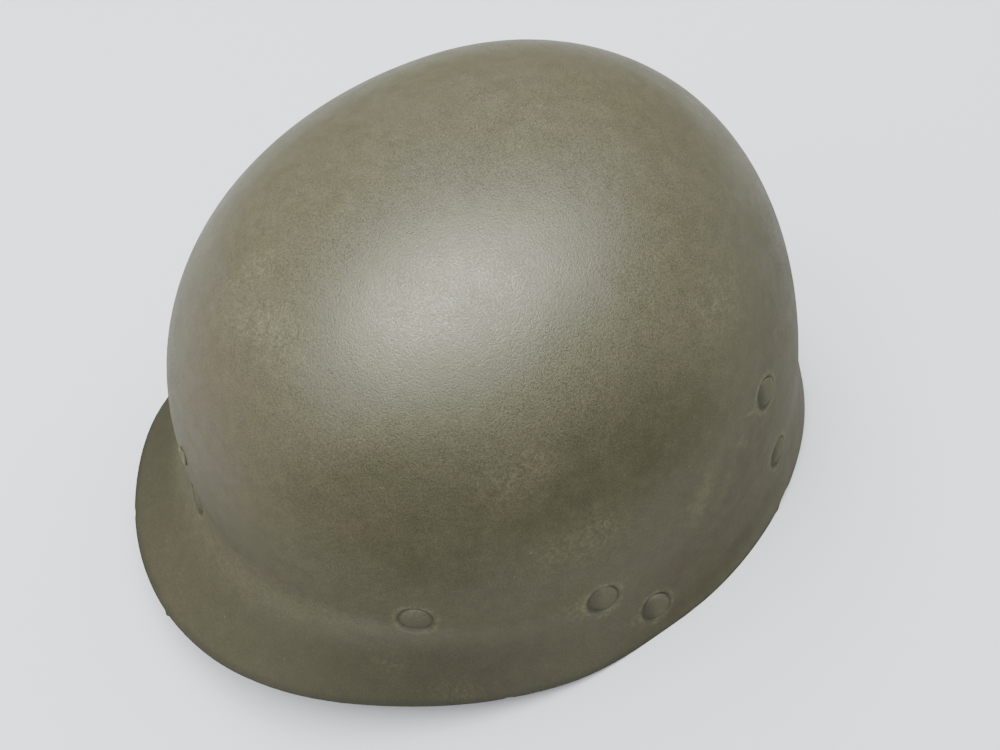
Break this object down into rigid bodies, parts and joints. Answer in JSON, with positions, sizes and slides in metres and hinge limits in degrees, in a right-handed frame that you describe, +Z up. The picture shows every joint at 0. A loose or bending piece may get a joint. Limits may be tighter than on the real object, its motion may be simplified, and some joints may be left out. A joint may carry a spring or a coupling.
{
  "type": "paratrooper helmet",
  "caption": "Hollow domed helmet shell of moulded fibre with a short peak, a narrow flared brim, flush rivets and a front eyelet.",
  "frame": {"origin": "on the ground under the middle of the helmet's length and width", "axes": "+Z up, -Y towards the peak, +X to the wearer's left"},
  "size_m": [0.2232, 0.2776, 0.1632],
  "materials": {
    "shell_paint": "worn satin olive paint on moulded fibre",
    "rivet_paint": "the same olive paint on steel"
  },
  "bodies": {
    "root": {"shell": "shell_paint", "front_eyelet": "rivet_paint", "rivet_front": "rivet_paint", "rivet_temple_left": "rivet_paint", "rivet_temple_right": "rivet_paint", "rivet_side_left": "rivet_paint", "rivet_side_right": "rivet_paint", "rivet_strap_left": "rivet_paint", "rivet_strap_right": "rivet_paint", "rivet_rear_left": "rivet_paint", "rivet_rear_right": "rivet_paint", "rivet_nape_left": "rivet_paint", "rivet_nape_right": "rivet_paint"}
  },
  "joints": []
}
